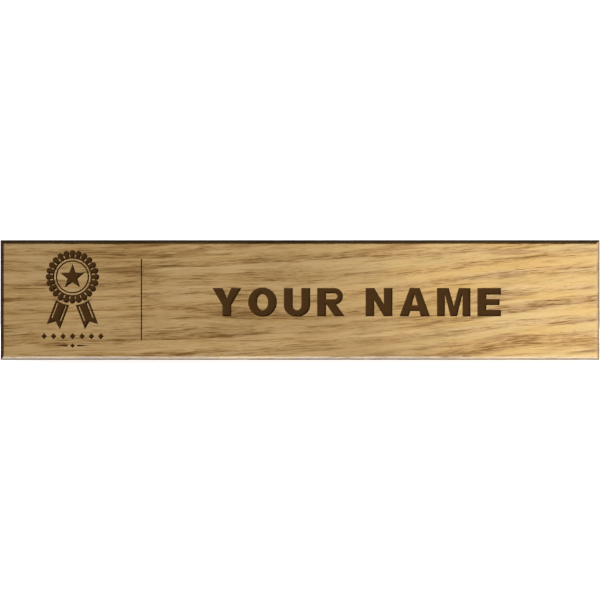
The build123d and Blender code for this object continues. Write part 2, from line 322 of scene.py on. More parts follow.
def combine(piece, other, operation):
    """Applies a Boolean to piece and removes the other object. Faces keep their material numbers."""
    cut = piece.modifiers.new("cut", "BOOLEAN")
    cut.operation, cut.object, cut.solver = operation, other, "MANIFOLD"
    graph = bpy.context.evaluated_depsgraph_get()
    mesh = bpy.data.meshes.new_from_object(piece.evaluated_get(graph))
    piece.modifiers.clear()
    piece.data = mesh
    bpy.data.objects.remove(other)


def only_material(piece, material):
    piece.data.materials.clear()
    piece.data.materials.append(material)


def shade(piece, sharp_angle=SHARP_ANGLE):
    piece.data.shade_smooth()
    piece.data.set_sharp_from_angle(angle=sharp_angle)


def stand_for(piece, node):
    """The piece rides on the plaque's one body and is shown instead of the CAD node."""
    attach(piece, "root")
    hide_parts(node)


def vertex_array(mesh):
    points = np.zeros(len(mesh.vertices) * 3)
    mesh.vertices.foreach_get("co", points)
    return points.reshape(-1, 3)


def ring_faces(rings, segments, first):
    """Quads between neighbouring rings of points, which are numbered on from first."""
    faces = []
    for ring in range(rings - 1):
        near = first + ring * segments
        far = near + segments
        for i in range(segments):
            j = (i + 1) % segments
            faces.append((near + i, far + i, far + j, near + j))
    return faces


def pole_faces(ring_start, segments, pole):
    """Triangles from a ring of points to the pole after it."""
    return [(pole, ring_start + (i + 1) % segments, ring_start + i) for i in range(segments)]


def lathe(name, profile, segments, materials):
    """A closed solid turned about Y: profile is (radius, y) from the front pole to the back pole."""
    points = [(0, profile[0][1], 0)]
    angles = [2 * math.pi * i / segments for i in range(segments)]
    for radius, y in profile[1:-1]:
        points += [(radius * math.cos(a), y, radius * math.sin(a)) for a in angles]
    points.append((0, profile[-1][1], 0))
    last = len(points) - 1
    faces = [face[::-1] for face in pole_faces(1, segments, 0)]
    faces += ring_faces(len(profile) - 2, segments, 1)
    faces += pole_faces(last - segments, segments, last)
    return mesh_from(name, points, faces, materials)


# ---------------------------------------------------------------- node helpers


def new_material(name):
    """A material with one Principled shader: (material, node tree, shader)."""
    material = bpy.data.materials.new(name)
    material.use_nodes = True
    tree = material.node_tree
    return material, tree, tree.nodes["Principled BSDF"]


def connect(tree, value, socket):
    """Feeds a socket from another socket, or sets it to a plain value."""
    if isinstance(value, bpy.types.NodeSocket):
        tree.links.new(value, socket)
    else:
        socket.default_value = value


def add_node(tree, kind, inputs=None, **settings):
    made = tree.nodes.new(kind)
    for name, value in settings.items():
        setattr(made, name, value)
    for name, value in (inputs or {}).items():
        connect(tree, value, made.inputs[name])
    return made


def maths(tree, operation, *values, clamp=False):
    made = add_node(tree, "ShaderNodeMath", operation=operation, use_clamp=clamp)
    for socket, value in zip(made.inputs, values):
        connect(tree, value, socket)
    return made.outputs[0]


def add_all(tree, *values):
    return functools.reduce(lambda total, value: maths(tree, "ADD", total, value), values)


def multiply_all(tree, *values):
    return functools.reduce(lambda product, value: maths(tree, "MULTIPLY", product, value), values)


def map_range(tree, value, low, high, to_low=0.0, to_high=1.0, kind="SMOOTHSTEP"):
    inputs = {"Value": value, "From Min": low, "From Max": high, "To Min": to_low, "To Max": to_high}
    return add_node(tree, "ShaderNodeMapRange", inputs, interpolation_type=kind).outputs["Result"]


def wire_mix(tree, made, kind, share, first, second):
    """Wires a Mix node. Its sockets' kind is Float or Color."""
    sockets = {socket.identifier: socket for socket in (*made.inputs, *made.outputs)}
    connect(tree, share, sockets["Factor_Float"])
    connect(tree, first, sockets[f"A_{kind}"])
    connect(tree, second, sockets[f"B_{kind}"])
    return sockets[f"Result_{kind}"]


def mix_values(tree, share, first, second):
    made = add_node(tree, "ShaderNodeMix", data_type="FLOAT")
    return wire_mix(tree, made, "Float", share, first, second)


def mix_colours(tree, share, first, second, blend="MIX"):
    made = add_node(tree, "ShaderNodeMix", data_type="RGBA", blend_type=blend)
    return wire_mix(tree, made, "Color", share, first, second)


def tinted(tree, share, colour, tint):
    """The colour, multiplied by the tint as far as share says."""
    return mix_colours(tree, share, colour, (*tint, 1), "MULTIPLY")


def vector_times(tree, vector, factors):
    inputs = {0: vector, 1: factors}
    return add_node(tree, "ShaderNodeVectorMath", inputs, operation="MULTIPLY").outputs[0]


def part_of(tree, vector, axis):
    return add_node(tree, "ShaderNodeSeparateXYZ", {"Vector": vector}).outputs[axis]


def in_cells(tree, vector, cell):
    """The vector counted in cells. A cell is (along, across, deep), or (along, across) if it is as
    deep as it is wide."""
    sides = (*cell, cell[-1])[:3]
    return vector_times(tree, vector, tuple(1 / side for side in sides))


def noise_at(tree, vector, cell, detail=2.0, roughness=0.5):
    place = in_cells(tree, vector, cell)
    inputs = {"Vector": place, "Scale": 1.0, "Detail": detail, "Roughness": roughness}
    return add_node(tree, "ShaderNodeTexNoise", inputs).outputs["Fac"]


def centred_noise(tree, vector, cell, gain, detail=2.0, roughness=0.5):
    """Noise about zero, times gain."""
    raw = noise_at(tree, vector, cell, detail, roughness)
    return maths(tree, "MULTIPLY_ADD", raw, gain, -0.5 * gain)


def noise_patches(tree, vector, cell, edge, detail=2.0, roughness=0.5):
    """Patches of noise: from 0 to 1 as the noise goes from edge's first value to its second."""
    return map_range(tree, noise_at(tree, vector, cell, detail, roughness), *edge)


def point_distance(tree, vector, cell):
    """Distance to the nearest of one random point per cell, in cells."""
    inputs = {"Vector": in_cells(tree, vector, cell), "Scale": 1.0}
    return add_node(tree, "ShaderNodeTexVoronoi", inputs).outputs["Distance"]


def ramp(tree, value, stops):
    made = add_node(tree, "ShaderNodeValToRGB", {"Fac": value})
    elements = made.color_ramp.elements
    while len(elements) < len(stops):
        elements.new(0.5)
    for element, (position, colour) in zip(elements, stops):
        element.position = position
        element.color = (*colour, 1)
    return made.outputs["Color"]


def set_bump(tree, shader, height, strength, distance):
    inputs = {"Height": height, "Strength": strength, "Distance": distance}
    connect(tree, add_node(tree, "ShaderNodeBump", inputs).outputs["Normal"], shader.inputs["Normal"])


def attribute(tree, name, output):
    made = add_node(tree, "ShaderNodeAttribute", attribute_name=name, attribute_type="GEOMETRY")
    return made.outputs[output]


def object_mm(tree):
    """Object coordinates in millimetres."""
    return vector_times(tree, add_node(tree, "ShaderNodeTexCoord").outputs["Object"], (1000, 1000, 1000))


def absolute_normal(tree, axis):
    """How far the surface faces along an axis, either way, from 0 to 1."""
    normal = add_node(tree, "ShaderNodeNewGeometry").outputs["Normal"]
    return maths(tree, "ABSOLUTE", part_of(tree, normal, axis))


# ---------------------------------------------------------------- grain


def smoothstep(low, high, value):
    t = np.clip((value - low) / (high - low), 0, 1)
    return t * t * (3 - 2 * t)


def noise_over(points, size, along, across, seed):
    """Smooth noise from -size to size at each point, with cells along by across by across."""
    scaled = points / np.array((along, across, across)) + seed
    return size * np.array([noise.noise(p) for p in scaled.tolist()])


def trunk_coordinates(points):
    """Where the board's points lie in the straightened trunk, as along, depth and across in mm."""
    x, y, z = ((points - np.array(BOARD_LOW)) / MM).T
    length = 2 * HALF.x / MM
    share = x / length
    turn = np.log1p(np.exp((share - SLOPE_TURN) / SLOPE_BLEND)) * SLOPE_BLEND
    drift = length * (SLOPE_LEFT * share + SLOPE_GAIN * turn)
    base = np.stack((x, y, z), 1)
    wave = noise_over(base, *LONG_WAVE_MM) + noise_over(base, *SHORT_WAVE_MM)
    lean = noise_over(base, *LEAN_MM)
    return np.stack((x, y + lean, z - drift - wave), 1)


def grain_fields(points):
    """The fields that the relief and the oak's colour share, for each point: its trunk coordinates,
    the same as along, round the rings and out from the pith, how far it is in a porous early wood
    band, and how deep in an open pore."""
    trunk = trunk_coordinates(points)
    along, depth, across = trunk[:, 0], trunk[:, 1] - PITH_DEPTH_MM, trunk[:, 2] - PITH_ACROSS_MM
    radius = np.hypot(depth, across)
    polar = np.stack((along, np.arctan2(across, depth) * RAY_RADIUS_MM, radius), 1)
    wander = noise_over(np.stack((along, radius, 0 * radius), 1), *RING_WANDER)
    phase = radius / RING_WIDTH_MM + wander
    year = np.floor(phase)
    part = phase - year
    profile = smoothstep(*RING_START, part) * (1 - smoothstep(*RING_END, part))
    years = np.stack((along, YEAR_STEP * year, year), 1)
    strength = RING_STRENGTH + noise_over(years, *RING_CHANGE)
    band = profile * np.clip(strength, WEAKEST_RING, 1)
    streaks = noise_over(trunk, *PORE_STREAKS) + noise_over(trunk, *PORE_GROUPS)
    pore = smoothstep(*PORE_EDGE, streaks) * (LATE_WOOD_PORES + (1 - LATE_WOOD_PORES) * band)
    return {"trunk": trunk, "polar": polar, "band": band, "pore": pore}


def write_grain(mesh):
    """Keeps the grain fields on the mesh, where the oak materials read them."""
    for name, values in grain_fields(vertex_array(mesh)).items():
        is_vector = values.ndim == 2
        made = mesh.attributes.new(name, "FLOAT_VECTOR" if is_vector else "FLOAT", "POINT")
        flat = np.ascontiguousarray(values, np.float32).ravel()
        made.data.foreach_set("vector" if is_vector else "value", flat)


# ---------------------------------------------------------------- oak's tone


def oak_pores(tree, trunk, band):
    """Open vessels, as tubes along the grain: short and fine, and long and coarse. They crowd in the
    early wood, and add to the deep pores of the mesh's relief."""
    crowding = maths(tree, "MULTIPLY", band, -VESSEL_CROWDING)
    deepest = attribute(tree, "pore", "Fac")
    for cell, edge in VESSELS:
        distance = add_all(tree, point_distance(tree, trunk, cell), crowding)
        deepest = maths(tree, "MAXIMUM", deepest, map_range(tree, distance, *edge, 1.0, 0.0))
    return deepest


def oak_rays(tree):
    """Medullary rays: thin sheets that run along the trunk and out from the pith. They show as short
    dark dashes on the face and the edges, and as pale lines on the ends."""
    return noise_patches(tree, attribute(tree, "polar", "Vector"), *RAYS)


def grain_clusters(tree, trunk, band):
    """Where the face's dark dashes crowd together: along the growth rings, and in streaks of their own."""
    in_rings = maths(tree, "MULTIPLY", band, RING_CLUSTERS)
    return maths(tree, "MAXIMUM", noise_patches(tree, trunk, *CLUSTERS), in_rings)


def face_calm(tree, trunk):
    """How lively the grain is, which is calmer round one place along the board."""
    along = maths(tree, "SUBTRACT", part_of(tree, trunk, "X"), CALM_PLACE_MM)
    return map_range(tree, maths(tree, "ABSOLUTE", along), *CALM_REACH_MM, CALMEST, 1.0)


def face_grain(tree, trunk, cluster):
    """Tone along the grain: smooth pale wood, with clusters of thin dark dashes that follow the
    growth rings."""
    calm = face_calm(tree, trunk)
    dashes = noise_patches(tree, trunk, *DASHES)
    crowding = mix_values(tree, cluster, LONE_DASHES, 1.0)
    streaks = [centred_noise(tree, trunk, *kind) for kind in (LONG_STREAKS, SHORT_STREAKS)]
    lively = mix_values(tree, noise_patches(tree, trunk, *LIVELY_PATCHES), *LIVELINESS)
    return add_all(
        tree,
        maths(tree, "MULTIPLY_ADD", cluster, -CLUSTER_SHADE, FACE_TONE),
        multiply_all(tree, dashes, crowding, calm, -DASH_SHADE),
        centred_noise(tree, trunk, *FACE_CLOUDS),
        multiply_all(tree, add_all(tree, *streaks), calm, lively),
    )


def end_grain(tree, trunk, band):
    """Tone across the grain: rings, darker in the early wood, with an even speckle."""
    return add_all(
        tree,
        maths(tree, "MULTIPLY_ADD", band, -END_RING_SHADE, END_TONE),
        centred_noise(tree, trunk, *END_CLOUDS),
        centred_noise(tree, trunk, *END_SPECKLE),
    )


def oak_tone(tree, grains, is_end, fibre, pore):
    """How light the wood is, from 0 to 1. grains are the tones of the face and of the ends."""
    rays = maths(tree, "MULTIPLY", oak_rays(tree), mix_values(tree, is_end, *RAY_SHADES))
    tone = add_all(tree, mix_values(tree, is_end, *grains), fibre, rays)
    return maths(tree, "MULTIPLY_ADD", pore, -PORE_SHADE, tone, clamp=True)


# ---------------------------------------------------------------- oak's colour and finish


def wood_colour(red_gain):
    """Oak made lighter or darker by the factor red_gain. Green and blue change more than red, as
    they do from late wood to early wood."""
    gains = (red_gain, red_gain**GREEN_POWER, red_gain**BLUE_POWER)
    return tuple(c * g for c, g in zip(OAK_MEAN, gains))


def outline_inset(tree, place):
    """How far a point is inside the board's outline, in mm, as seen from the front."""
    insets = []
    for axis, middle, half in (("X", CENTRE.x, HALF.x), ("Z", CENTRE.z, HALF.z)):
        offset = maths(tree, "SUBTRACT", part_of(tree, place, axis), middle / MM)
        insets.append(maths(tree, "SUBTRACT", half / MM, maths(tree, "ABSOLUTE", offset)))
    return maths(tree, "MINIMUM", *insets)


def bevel_and_outline(tree):
    """Two shares from 0 to 1: whether a point is on one of the front's bevels, and how near it is to
    the front's outline."""
    place, facing = object_mm(tree), absolute_normal(tree, "Y")
    in_front = maths(tree, "LESS_THAN", part_of(tree, place, "Y"), CENTRE.y / MM)
    slanted = maths(tree, "COMPARE", facing, BEVEL_FACING, BEVEL_TOLERANCE)
    near = map_range(tree, outline_inset(tree, place), 0.0, OUTLINE_REACH_MM, 1.0, 0.0)
    outline = multiply_all(tree, map_range(tree, facing, *OUTLINE_FACING), near, in_front)
    return maths(tree, "MULTIPLY", slanted, in_front), outline


def golden_share(tree, trunk, bevel):
    """From 0 at the left to 1 at the right, past a slanting and ragged border. The bevels follow it
    only in part, as painted shade that keeps them darker."""
    rise = maths(tree, "MULTIPLY_ADD", part_of(tree, trunk, "Z"), BORDER_SLANT, -BORDER_SLANT * HALF.z / MM)
    sway = centred_noise(tree, trunk, *BORDER_SWAY)
    place = add_all(tree, part_of(tree, trunk, "X"), rise, sway)
    share = map_range(tree, place, *GOLDEN_RANGE_MM)
    return maths(tree, "MULTIPLY", share, mix_values(tree, bevel, 1.0, SHADED_BEVEL_GOLD))


def tint_lengthwise(tree, trunk, colour, cluster, golden):
    """The tints that differ from end to end."""
    change = tuple(right / left for left, right in zip(TINT_LEFT, TINT_RIGHT))
    colour = tinted(tree, 1.0, colour, TINT_LEFT)
    colour = tinted(tree, golden, colour, change)
    colour = tinted(tree, maths(tree, "MULTIPLY", cluster, golden), colour, ROSY_TINT)
    patches = noise_patches(tree, trunk, *TINT_PATCHES)
    patch_tint = mix_colours(tree, patches, (*DULL_TINT, 1), (*WARM_TINT, 1))
    share = mix_values(tree, golden, PATCHES_LEFT, 1.0)
    return mix_colours(tree, share, colour, patch_tint, "MULTIPLY")


def set_oak_finish(tree, shader, pore, bevel, outline, lacquered):
    """Satin lacquer, polished on the bevels and dull in the pores and along the outline, or wood left
    bare."""
    polish = maths(tree, "MULTIPLY", bevel, maths(tree, "SUBTRACT", 1.0, outline))
    smooth = BARE_ROUGHNESS
    if lacquered:
        smooth = mix_values(tree, polish, *LACQUER_ROUGHNESS)
        connect(tree, mix_values(tree, polish, *COAT), shader.inputs["Coat Weight"])
        shader.inputs["Coat Roughness"].default_value = COAT_ROUGHNESS
    rough = map_range(tree, pore, 0, 1, smooth, PORE_ROUGHNESS, "LINEAR")
    connect(tree, mix_values(tree, outline, rough, 1.0), shader.inputs["Roughness"])
    shader.inputs["Specular IOR Level"].default_value = OAK_SPECULAR


def oak_material(name, lacquered=True):
    """Plain-sawn oak, coloured in the trunk's own coordinates, so that the grain runs through from
    the face to the edges and the ends."""
    material, tree, shader = new_material(name)
    trunk, band = attribute(tree, "trunk", "Vector"), attribute(tree, "band", "Fac")
    is_end = map_range(tree, absolute_normal(tree, "X"), *END_FACING)
    bevel, outline = bevel_and_outline(tree)
    fibre = centred_noise(tree, trunk, *FIBRE)
    cluster = grain_clusters(tree, trunk, band)
    pore = oak_pores(tree, trunk, band)
    grains = face_grain(tree, trunk, cluster), end_grain(tree, trunk, band)
    tone = oak_tone(tree, grains, is_end, fibre, pore)
    colour = ramp(tree, tone, [(position, wood_colour(gain)) for position, gain in OAK_STOPS])
    colour = tint_lengthwise(tree, trunk, colour, cluster, golden_share(tree, trunk, bevel))
    # The ends' tint is the end grain's own colour, and the bevels' tint is painted shade.
    for share, tint in ((is_end, END_TINT), (bevel, BEVEL_PAINTED_SHADE), (outline, OUTLINE_TINT)):
        colour = tinted(tree, share, colour, tint)
    connect(tree, colour, shader.inputs["Base Color"])
    height = maths(tree, "MULTIPLY_ADD", pore, -1.0, fibre)
    set_bump(tree, shader, height, strength=0.6, distance=0.05 * MM)
    set_oak_finish(tree, shader, pore, bevel, outline, lacquered)
    return material


def scorched_material():
    """Engraved wood, burnt dark brown, with the fibres still showing."""
    material, tree, shader = new_material("scorched_oak")
    fibre = noise_at(tree, attribute(tree, "trunk", "Vector"), (2.5, 0.12), 3, 0.6)
    colour = ramp(tree, fibre, [(0.3, (0.02, 0.009, 0.003)), (0.7, (0.06, 0.03, 0.01))])
    connect(tree, colour, shader.inputs["Base Color"])
    connect(tree, map_range(tree, fibre, 0.2, 0.8, 0.7, 0.9), shader.inputs["Roughness"])
    set_bump(tree, shader, fibre, strength=0.4, distance=0.04 * MM)
    return material


# ---------------------------------------------------------------- board


def eased_corner(before, corner, after, easing):
    """Points that round a corner of the profile, from easing before it to easing after it."""
    start = corner + (before - corner).normalized() * easing
    end = corner + (after - corner).normalized() * easing
    shares = [i / EASING_STEPS for i in range(EASING_STEPS + 1)]
    return [start * (1 - t) ** 2 + corner * 2 * t * (1 - t) + end * t**2 for t in shares]


def edge_profile():
    """The section from the front face's edge to the back face's edge, as points (inset from the
    outline, y), each with its inward normal."""
    front, back = BOARD_LOW.y, BOARD_HIGH.y
    outline = Vector((0, front + FRONT_BEVEL))
    corners = [
        Vector((HALF.z, front)),
        Vector((FRONT_BEVEL, front)),
        outline,
        Vector((0, back - BACK_BEVEL)),
        Vector((BACK_BEVEL, back)),
        Vector((HALF.z, back)),
    ]
    points = []
    for before, corner, after in zip(corners, corners[1:], corners[2:]):
        rounded = eased_corner(before, corner, after, OUTLINE_EASING if corner is outline else EASING)
        if points:
            gap = rounded[0] - points[-1]
            steps = max(1, round(gap.length / SIDE_STEP))
            points += [points[-1] + gap * i / steps for i in range(1, steps)]
        points += rounded
    normals = []
    for i in range(len(points)):
        run = points[min(i + 1, len(points) - 1)] - points[max(i - 1, 0)]
        normals.append(Vector((run.y, -run.x)).normalized())
    normals[0], normals[-1] = Vector((0, 1)), Vector((0, -1))
    return list(zip(points, normals))


def block_layout():
    """Every vertex of the uncut board as (share across x, share across z, inset, y, inward normal's
    two parts), and the faces: a grid in front, a grid behind and the walls between them."""
    profile = edge_profile()
    columns, rows = np.linspace(-1, 1, CELLS_X + 1), np.linspace(-1, 1, CELLS_Z + 1)
    grid_x, grid_z = (a.ravel() for a in np.meshgrid(columns, rows))
    index = np.arange(grid_x.size).reshape(CELLS_Z + 1, CELLS_X + 1)
    rim = np.concatenate((index[0, :-1], index[:-1, -1], index[-1, :0:-1], index[:0:-1, 0]))
    cells = np.stack((index[:-1, :-1], index[:-1, 1:], index[1:, 1:], index[1:, :-1]), -1).reshape(-1, 4)
    vertices, loops = [], []

    def add_station(share_x, share_z, station, loop):
        (inset, y), (normal_inset, normal_y) = station
        start = sum(len(v) for v in vertices)
        constants = np.tile((inset, y, normal_inset, normal_y), (len(share_x), 1))
        vertices.append(np.column_stack((share_x, share_z, constants)))
        loops.append(loop + start)
        return start

    front_start = add_station(grid_x, grid_z, profile[0], rim)
    for station in profile[1:-1]:
        add_station(grid_x[rim], grid_z[rim], station, np.arange(len(rim)))
    back_start = add_station(grid_x, grid_z, profile[-1], rim)
    faces = [cells + front_start, cells[:, ::-1] + back_start]
    for near, far in zip(loops, loops[1:]):
        faces.append(np.stack((np.roll(near, -1), near, far, np.roll(far, -1)), 1))
    return np.concatenate(vertices), np.concatenate(faces)


def block_points(layout, depth=0.0):
    """The layout's points, moved inwards by depth."""
    share_x, share_z, inset, y, normal_inset, normal_y = layout.T
    inset = inset + normal_inset * depth
    x = CENTRE.x + share_x * (HALF.x - inset)
    z = CENTRE.z + share_z * (HALF.z - inset)
    return np.stack((x, y + normal_y * depth, z), 1)


def relief_block(materials):
    """The uncut board with its grain relief, everywhere just inside the CAD board's outline."""
    layout, faces = block_layout()
    fields = grain_fields(block_points(layout))
    depth_mm = SKIN_GAP_MM + BAND_RELIEF_MM * fields["band"] + PORE_RELIEF_MM * fields["pore"]
    return mesh_from("oak_board", block_points(layout, depth_mm * MM), faces.tolist(), materials)


def make_board():
    """The relief block cut to the CAD board. The engraved pockets show scorched wood, and the other
    cuts unlacquered wood."""
    materials = [oak_material("oak"), scorched_material(), oak_material("routed_oak", lacquered=False)]
    board = relief_block(materials)
    cutter = cad_copy("board")
    for face in cutter.faces:
        is_pocket = face.calc_center_median().y < POCKET_FLOOR_Y + SAME_PLANE
        face.material_index = 1 if is_pocket else 2
    combine(board, object_from_bmesh("board_cutter", cutter, materials), "INTERSECT")
    write_grain(board.data)
    shade(board)
    stand_for(board, "board")


# ---------------------------------------------------------------- paint


def paint_material():
    """Dark brown colour fill: matt, and a little streaky where it was wiped along the board."""
    material, tree, shader = new_material("engraving_fill")
    place = object_mm(tree)
    wiped = noise_at(tree, place, (5, 0.8), 3, 0.6)
    speckle = noise_at(tree, place, (0.25, 0.25))
    tone = maths(tree, "MULTIPLY_ADD", speckle, 0.35, maths(tree, "MULTIPLY", wiped, 0.65))
    colour = ramp(tree, tone, [(0.3, (0.042, 0.0170, 0.0016)), (0.7, (0.058, 0.0240, 0.0032))])
    connect(tree, colour, shader.inputs["Base Color"])
    connect(tree, map_range(tree, tone, 0.3, 0.7, 0.68, 0.85), shader.inputs["Roughness"])
    set_bump(tree, shader, speckle, strength=0.35, distance=0.03 * MM)
    shader.inputs["Specular IOR Level"].default_value = 0.12
    return material


def gridded_slab(name, low, high, front_y, back_y):
    """A closed slab over the box from low to high, whose front face is a grid of paint cells."""
    across = max(1, math.ceil((high.x - low.x) / PAINT_CELL))
    up = max(1, math.ceil((high.z - low.z) / PAINT_CELL))
    shape = bmesh.new()
    bmesh.ops.create_grid(shape, x_segments=across, y_segments=up, size=0.5)
    turn = Matrix.Rotation(math.pi / 2, 4, "X")
    size = Matrix.Diagonal((high.x - low.x, 1, high.z - low.z, 1))
    move = Matrix.Translation(((low.x + high.x) / 2, front_y, (low.z + high.z) / 2))
    bmesh.ops.transform(shape, matrix=move @ size @ turn, verts=shape.verts)
    rim = [edge for edge in shape.edges if edge.is_boundary]
    walls = bmesh.ops.extrude_edge_only(shape, edges=rim)["geom"]
    for part in walls:
        if isinstance(part, bmesh.types.BMVert):
            part.co.y = back_y
    bmesh.ops.contextual_create(shape, geom=[e for e in shape.edges if e.is_boundary])
    bmesh.ops.recalc_face_normals(shape, faces=shape.faces)
    return object_from_bmesh(name, shape)


def pocket_walls(cutter):
    """A search tree of the upright walls of a bmesh."""
    cutter.normal_update()
    index = {vertex: i for i, vertex in enumerate(cutter.verts)}
    walls = [[index[v] for v in face.verts] for face in cutter.faces if abs(face.normal.y) < 0.5]
    return BVHTree.FromPolygons([v.co.copy() for v in cutter.verts], walls)


def make_paint(node, material):
    """Paint in one motif's pockets: a slab cut to the CAD fill's outline. It climbs the pocket's
    walls a little and dries uneven."""
    low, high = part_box(node)
    margin = Vector((PAINT_MARGIN, 0, PAINT_MARGIN))
    name = node.replace("_fill", "_paint")
    paint = gridded_slab(name, low - margin, high + margin, PAINT_Y, POCKET_FLOOR_Y + OVERRUN)
    cutter = cad_copy(node)
    for vertex in cutter.verts:
        if vertex.co.y < (PAINT_Y + POCKET_FLOOR_Y) / 2:
            vertex.co.y = PAINT_Y - OVERRUN
    walls = pocket_walls(cutter)
    combine(paint, object_from_bmesh("paint_cutter", cutter), "INTERSECT")
    for vertex in paint.data.vertices:
        if vertex.co.y < PAINT_Y + SAME_PLANE:
            gap = walls.find_nearest(vertex.co)[3]
            rise = MENISCUS_RISE * math.exp(-gap / MENISCUS_REACH)
            wave = PAINT_WAVE * noise.noise(vertex.co / PAINT_WAVE_CELL)
            vertex.co.y -= rise + wave
    only_material(paint, material)
    shade(paint)
    stand_for(paint, node)


# ---------------------------------------------------------------- hanger plates and screws


def steel_material(name, dark, light, roughness):
    """Zinc-plated steel: mottled plating over a fine grain that is brushed along Z."""
    material, tree, shader = new_material(name)
    place = object_mm(tree)
    mottle = noise_at(tree, place, (2.5, 2.5), 4, 0.6)
    brushed = noise_at(tree, place, (1 / 6, 1 / 6, 1 / 0.35), 3, 0.7)
    connect(tree, ramp(tree, mottle, [(0.3, dark), (0.7, light)]), shader.inputs["Base Color"])
    shader.inputs["Metallic"].default_value = 1.0
    tone = maths(tree, "MULTIPLY_ADD", brushed, 0.6, maths(tree, "MULTIPLY", mottle, 0.4))
    rough = map_range(tree, tone, 0.3, 0.7, roughness - 0.07, roughness + 0.1)
    connect(tree, rough, shader.inputs["Roughness"])
    set_bump(tree, shader, brushed, strength=0.25, distance=0.02 * MM)
    return material


def make_plate(side, material):
    """A hanger plate with the sharp edges of its stamping rolled over."""
    node = f"hanger_plate_{side}"
    shape = cad_copy(node)
    bmesh.ops.dissolve_limit(shape, angle_limit=math.radians(1), verts=shape.verts, edges=shape.edges)
    sharp = [e for e in shape.edges if len(e.link_faces) == 2 and e.calc_face_angle() > SHARP_ANGLE]
    bmesh.ops.bevel(
        shape,
        geom=sharp,
        offset=PLATE_EDGE,
        offset_type="OFFSET",
        segments=3,
        profile=0.5,
        affect="EDGES",
        clamp_overlap=True,
    )
    bmesh.ops.triangulate(shape, faces=shape.faces)
    plate = object_from_bmesh(f"keyhole_plate_{side}", shape, [material])
    shade(plate)
    stand_for(plate, node)


def thread_radius(depth, turn, length):
    """The threaded stretch's radius. The ridge rises over the run-in, and all of it tapers to the tip."""
    place = (depth - SCREW_NECK_END) / THREAD_PITCH
    start = min(1.0, place / THREAD_RUN_IN)
    core = THREAD_CREST * (1 - start) + THREAD_ROOT * start
    ridge = max(0.0, 1 - abs((place - turn) % 1 - 0.5) / THREAD_FLANK)
    taper = min(1.0, max(0.0, (length - depth) / SCREW_TIP_LENGTH)) ** TIP_POWER
    return max((core + ridge * (THREAD_CREST - THREAD_ROOT) * start) * taper, SCREW_TIP_RADIUS)


def screw_radius(depth, turn, length):
    """The screw's radius at a depth below its head's face and a turn from 0 to 1."""
    if depth > SCREW_NECK_END:
        return thread_radius(depth, turn, length)
    cone = min(1.0, depth / SCREW_HEAD_HEIGHT)
    rounding = SCREW_EDGE if depth == 0 else 0
    return SCREW_HEAD_RADIUS * (1 - cone) + THREAD_CREST * cone - rounding


def screw_body(name, material, length):
    """The screw along Y, its head's face at y = 0 and its point at y = -length."""
    head = [0.0, SCREW_EDGE, SCREW_HEAD_HEIGHT / 2, SCREW_HEAD_HEIGHT, SCREW_NECK_END]
    threaded = length - SCREW_NECK_END
    steps = round(threaded / THREAD_PITCH * STEPS_PER_PITCH)
    depths = head + [SCREW_NECK_END + threaded * i / steps for i in range(1, steps)]
    points = []
    for depth in depths:
        for i in range(SCREW_SEGMENTS):
            turn = i / SCREW_SEGMENTS
            angle = 2 * math.pi * turn
            radius = screw_radius(depth, turn, length)
            points.append((radius * math.cos(angle), -depth, radius * math.sin(angle)))
    tip = len(points)
    points.append((0, -length, 0))
    faces = [tuple(range(SCREW_SEGMENTS))]
    faces += ring_faces(len(depths), SCREW_SEGMENTS, 0)
    faces += pole_faces(tip - SCREW_SEGMENTS, SCREW_SEGMENTS, tip)
    return solid_from(name, points, faces, [material])


def recess_arm(along, across):
    """A cutter for one arm of the cross recess, which narrows to its floor. It stands out of the head,
    and lies along one axis, 0 for X or 2 for Z, and across the other."""
    points = []
    for y, share in ((-RECESS_DEPTH, 0.0), (RECESS_MARGIN, 1 + RECESS_MARGIN / RECESS_DEPTH)):
        span = RECESS_FLOOR_SPAN + (RECESS_SPAN - RECESS_FLOOR_SPAN) * share
        width = RECESS_FLOOR_WIDTH + (RECESS_WIDTH - RECESS_FLOOR_WIDTH) * share
        for sign_along, sign_across in ((-1, -1), (1, -1), (1, 1), (-1, 1)):
            point = [0, y, 0]
            point[along], point[across] = sign_along * span / 2, sign_across * width / 2
            points.append(point)
    faces = [(0, 1, 2, 3), (7, 6, 5, 4), (0, 4, 5, 1), (1, 5, 6, 2), (2, 6, 7, 3), (3, 7, 4, 0)]
    return solid_from("recess_cutter", points, faces)


def make_screw(side, level, material):
    """A hanger screw with a helical thread and a cross recess, turned to an angle of its own."""
    node = f"hanger_screw_{side}_{level}"
    low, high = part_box(node)
    screw = screw_body(f"hanger_wood_screw_{side}_{level}", material, high.y - low.y)
    for along, across in ((0, 2), (2, 0)):
        combine(screw, recess_arm(along, across), "DIFFERENCE")
    turn = Matrix.Rotation(SCREW_TURNS[side, level], 4, "Y")
    move = Matrix.Translation(((low.x + high.x) / 2, high.y, (low.z + high.z) / 2))
    screw.data.transform(move @ turn)
    only_material(screw, material)
    shade(screw, SCREW_SHARP_ANGLE)
    stand_for(screw, node)


# ---------------------------------------------------------------- bumpers


def rubber_material():
    """Pale grey polyurethane, a little see-through, with a faint dusty haze."""
    material, tree, shader = new_material("bumper_rubber")
    haze = noise_at(tree, object_mm(tree), (3.0, 3.0))
    colour = ramp(tree, haze, [(0.3, (0.50, 0.51, 0.51)), (0.7, (0.54, 0.55, 0.55))])
    connect(tree, colour, shader.inputs["Base Color"])
    connect(tree, map_range(tree, haze, 0.3, 0.7, 0.27, 0.34), shader.inputs["Roughness"])
    set_bump(tree, shader, haze, strength=0.1, distance=0.02 * MM)
    shader.inputs["Transmission Weight"].default_value = 0.3
    shader.inputs["IOR"].default_value = 1.45
    return material


